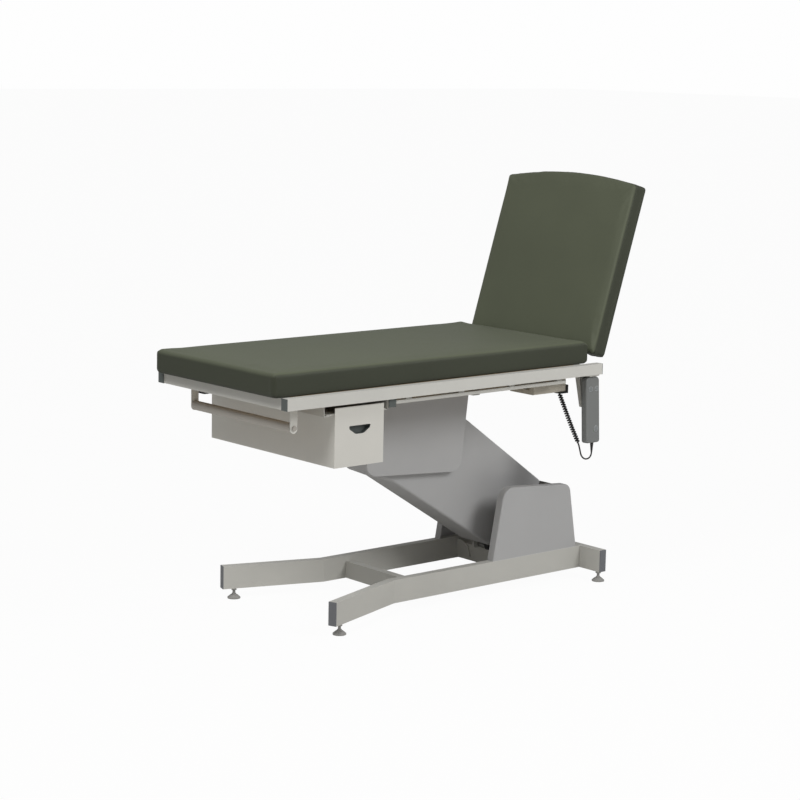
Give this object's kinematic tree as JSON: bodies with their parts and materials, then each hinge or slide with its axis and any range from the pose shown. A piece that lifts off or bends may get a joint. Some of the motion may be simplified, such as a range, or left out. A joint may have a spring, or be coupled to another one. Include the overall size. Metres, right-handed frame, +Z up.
{
  "type": "medical exam table",
  "caption": "Height-adjustable padded exam table with a raised backrest, side drawer, paper roll bar and corded handset on a splayed tube base.",
  "frame": {"origin": "centre of the floor footprint's bounding box, on the floor", "axes": "+X from the foot end to the raised backrest, -Y towards the drawer front and the handset, +Z up"},
  "size_m": [1.6693, 0.7086, 1.4645],
  "materials": {
    "base_paint": "satin",
    "rail_paint": "satin",
    "drawer_paint": "satin",
    "cover_grey": "matte",
    "cap_blue_grey": "matte",
    "cap_dark": "matte",
    "foot_plastic": "matte",
    "steel": "brushed",
    "chrome": "polished",
    "black_metal": "satin",
    "pad_olive": "soft satin",
    "plywood": "matte",
    "bracket_white": "satin",
    "bar_white": "satin",
    "box_beige": "matte",
    "black_plastic": "matte",
    "handset_grey": "matte",
    "button_grey": "matte",
    "cord_rubber": "satin"
  },
  "bodies": {
    "base": {"base_side_tube_near": "base_paint", "base_side_tube_far": "base_paint", "base_head_tube": "base_paint", "base_foot_crossbar": "base_paint", "base_end_caps": "cap_blue_grey", "pivot_beam": "base_paint", "pivot_brackets": "base_paint", "base_pivot_pins": "steel", "base_cover_near": "cover_grey", "base_cover_far": "cover_grey", "base_cover_rear": "cover_grey", "foot_nuts": "steel"},
    "lift_arm": {"lift_arm": "base_paint", "arm_cover": "cover_grey"},
    "guide_arm": {"guide_arm": "base_paint"},
    "actuator_body": {"lift_actuator_body": "black_plastic", "lift_actuator_motor": "black_plastic"},
    "actuator_rod": {"lift_actuator_rod": "chrome"},
    "drawer": {"drawer_box": "drawer_paint", "drawer_pull": "cap_dark"},
    "paper_roll_bar": {"paper_bar": "bar_white"},
    "backrest": {"back_frame": "rail_paint", "back_board": "plywood", "back_pad": "pad_olive"},
    "gas_spring_rod": {"gas_spring_rod": "chrome"},
    "foot_near_foot": {"levelling_foot_near_foot": "foot_plastic"},
    "foot_far_foot": {"levelling_foot_far_foot": "foot_plastic"},
    "foot_near_head": {"levelling_foot_near_head": "foot_plastic"},
    "foot_far_head": {"levelling_foot_far_head": "foot_plastic"},
    "button_up": {"button_up": "button_grey"},
    "button_down": {"button_down": "button_grey"},
    "button_lock": {"button_lock": "button_grey"},
    "table_top": {"main_rail_near": "rail_paint", "main_rail_far": "rail_paint", "end_cross_rails": "rail_paint", "board_cross_rails": "rail_paint", "frame_end_caps": "cap_dark", "sub_rails": "base_paint", "sub_frame": "base_paint", "carriage_plates": "base_paint", "carriage_pins": "steel", "upper_cover_near": "cover_grey", "upper_cover_far": "cover_grey", "seat_board": "plywood", "seat_pad": "pad_olive", "drawer_runner_foot": "base_paint", "drawer_runner_head": "base_paint", "paper_brackets": "bracket_white", "supply_box": "black_plastic", "control_box": "box_beige", "handset_socket": "black_plastic", "handset_holder": "base_paint", "handset_front": "handset_grey", "handset_back": "handset_grey", "handset_strain_relief": "cord_rubber", "handset_cord": "cord_rubber", "handset_curly_cord": "cord_rubber", "back_hinge_ears": "rail_paint", "back_hinge_pins": "steel", "gas_spring_cylinder": "black_metal"}
  },
  "joints": [
    {"name": "lift", "type": "hinge", "parent": "base", "child": "lift_arm", "pos_m": [0.4154, 0, 0.17], "axis": [0, 1, 0], "range_deg": [-27, 6]},
    {"name": "guide", "type": "hinge", "parent": "base", "child": "guide_arm", "pos_m": [0.4954, 0, 0.27], "axis": [0, 1, 0], "range_deg": [-27, 6]},
    {"name": "table_level", "type": "hinge", "parent": "lift_arm", "child": "table_top", "pos_m": [-0.1846, 0, 0.567], "axis": [0, 1, 0], "range_deg": [-6, 27]},
    {"name": "actuator_swing", "type": "hinge", "parent": "base", "child": "actuator_body", "pos_m": [0.4054, 0, 0.11], "axis": [0, 1, 0], "range_deg": [-27.7, 6.2]},
    {"name": "actuator_stroke", "type": "slide", "parent": "actuator_body", "child": "actuator_rod", "axis": [-0.6525, 0, 0.7578], "range_m": [-0.0919, 0.0205]},
    {"name": "back_angle", "type": "hinge", "parent": "table_top", "child": "backrest", "pos_m": [0.6154, 0, 0.853], "axis": [0, -1, 0], "range_deg": [-72.5, 2.5]},
    {"name": "spring_stroke", "type": "slide", "parent": "table_top", "child": "gas_spring_rod", "axis": [1, 0, 0], "range_m": [-0.138, 0.0049]},
    {"name": "drawer_slide", "type": "slide", "parent": "table_top", "child": "drawer", "axis": [0, -1, 0], "range_m": [0, 0.4]},
    {"name": "paper_bar_spin", "type": "hinge", "parent": "table_top", "child": "paper_roll_bar", "pos_m": [-0.7056, 0, 0.698], "axis": [0, 1, 0], "continuous": true},
    {"name": "foot_screw_near_foot", "type": "slide", "parent": "base", "child": "foot_near_foot", "axis": [0, 0, 1], "range_m": [-0.01, 0.008]},
    {"name": "foot_screw_far_foot", "type": "slide", "parent": "base", "child": "foot_far_foot", "axis": [0, 0, 1], "range_m": [-0.01, 0.008]},
    {"name": "foot_screw_near_head", "type": "slide", "parent": "base", "child": "foot_near_head", "axis": [0, 0, 1], "range_m": [-0.01, 0.008]},
    {"name": "foot_screw_far_head", "type": "slide", "parent": "base", "child": "foot_far_head", "axis": [0, 0, 1], "range_m": [-0.01, 0.008]},
    {"name": "press_up", "type": "slide", "parent": "table_top", "child": "button_up", "axis": [0, 0.9986, -0.0523], "range_m": [0, 0.001], "stiffness_N_per_m": 1200},
    {"name": "press_down", "type": "slide", "parent": "table_top", "child": "button_down", "axis": [0, 0.9986, -0.0523], "range_m": [0, 0.001], "stiffness_N_per_m": 1200},
    {"name": "press_lock", "type": "slide", "parent": "table_top", "child": "button_lock", "axis": [0, 0.9986, -0.0523], "range_m": [0, 0.001], "stiffness_N_per_m": 1200}
  ],
  "couplings": [
    {"joint": "guide", "follows": "lift", "ratio": 1},
    {"joint": "table_level", "follows": "lift", "ratio": -1},
    {"joint": "actuator_swing", "follows": "lift", "ratio": 1.025},
    {"joint": "actuator_stroke", "follows": "lift", "m_per_rad": 0.1948},
    {"joint": "spring_stroke", "follows": "back_angle", "m_per_rad": 0.10895}
  ]
}
